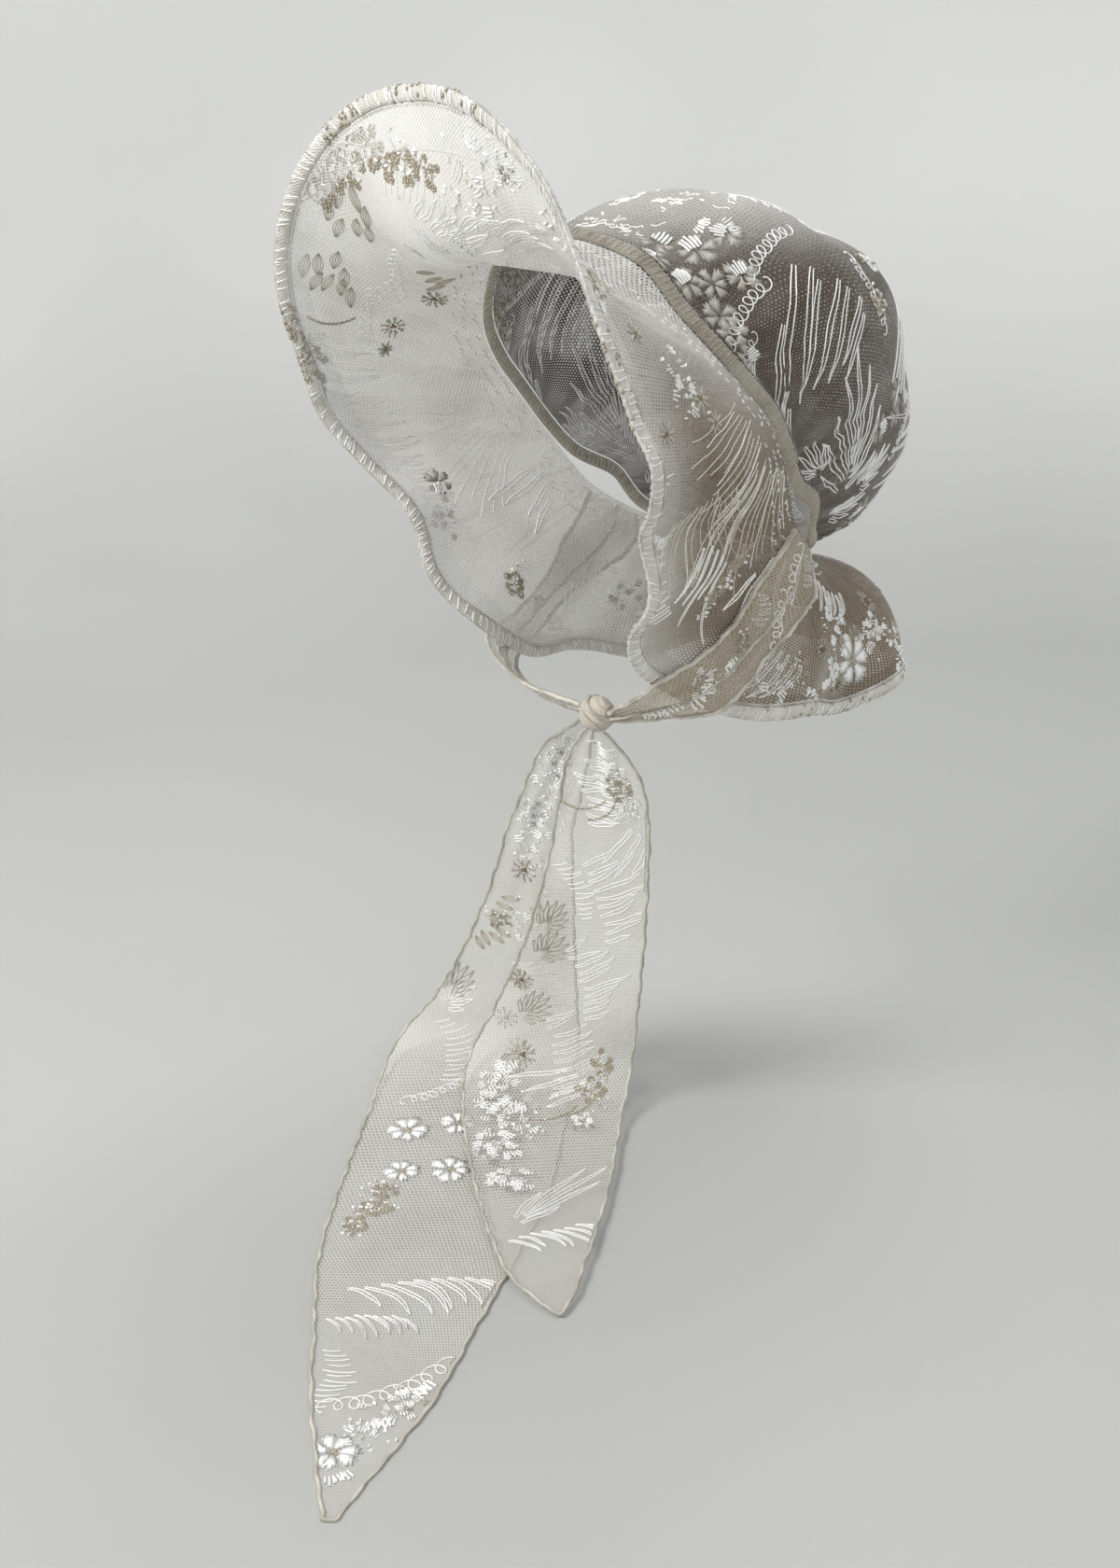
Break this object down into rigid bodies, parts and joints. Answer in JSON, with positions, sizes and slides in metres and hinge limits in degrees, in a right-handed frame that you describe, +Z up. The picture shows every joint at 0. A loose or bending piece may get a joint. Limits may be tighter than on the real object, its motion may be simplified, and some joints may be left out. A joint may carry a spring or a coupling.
{
  "type": "lace veil hat with scarf tie",
  "caption": "Sheer embroidered net bonnet with a puffed crown, a wired brim that flares at the nape, and a scarf tied at the throat",
  "frame": {"origin": "the middle of the head that the hat sits on, level with the crown's opening", "axes": "+Z up, -Y the way the wearer faces, +X the wearer's left"},
  "size_m": [0.2701, 0.4859, 0.514],
  "materials": {
    "lace": "sheer off-white embroidered net",
    "edge": "cream rolled binding with a slight sparkle",
    "scarf": "sheer champagne embroidered net with rolled hems"
  },
  "bodies": {
    "root": {"crown": "lace", "crown_band": "edge", "brim": "lace", "brim_edge": "edge", "tie_left": "scarf", "tie_right": "scarf", "knot": "scarf", "tail_short": "scarf", "tail_long": "scarf"}
  },
  "joints": []
}
